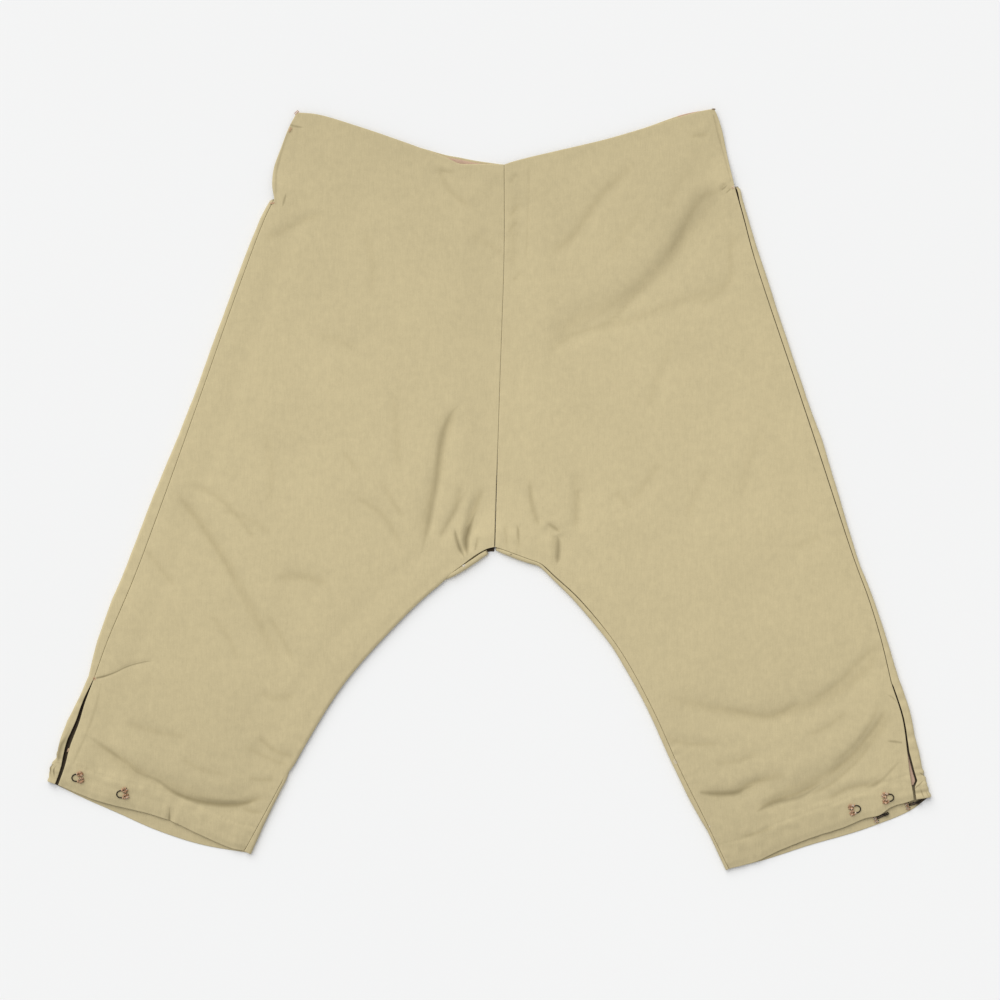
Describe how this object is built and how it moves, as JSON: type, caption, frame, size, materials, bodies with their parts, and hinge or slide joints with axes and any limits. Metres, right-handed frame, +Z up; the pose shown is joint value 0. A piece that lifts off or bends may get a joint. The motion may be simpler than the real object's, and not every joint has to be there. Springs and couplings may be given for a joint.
{
  "type": "three-quarter pants",
  "caption": "Three-quarter pants laid flat, front up, with open hips, wide tapering legs and slit hems that hooks and eyes close.",
  "frame": {"origin": "middle of the covered area, on the surface that the garment lies on", "axes": "+X towards the wearer's left, +Y from the hems towards the waist, +Z up from the surface"},
  "size_m": [0.8393, 0.7238, 0.0082],
  "materials": {
    "sateen": "khaki cotton sateen, matt with a faint sheen",
    "facing": "thin dusty-pink lining cloth, matt",
    "wire": "black-enamelled steel wire"
  },
  "bodies": {
    "root": {"front_right": "sateen", "front_left": "sateen", "back_right": "sateen", "back_left": "sateen", "facing_waist_centre": "facing", "facing_waist_corner": "facing", "facing_slit_left": "facing", "eye_right_outer": "wire", "eye_right_inner": "wire", "eye_left_inner": "wire", "eye_left_outer": "wire", "hook_right_outer": "wire", "hook_right_inner": "wire", "hook_left_inner": "wire", "hook_left_outer": "wire"}
  },
  "joints": []
}
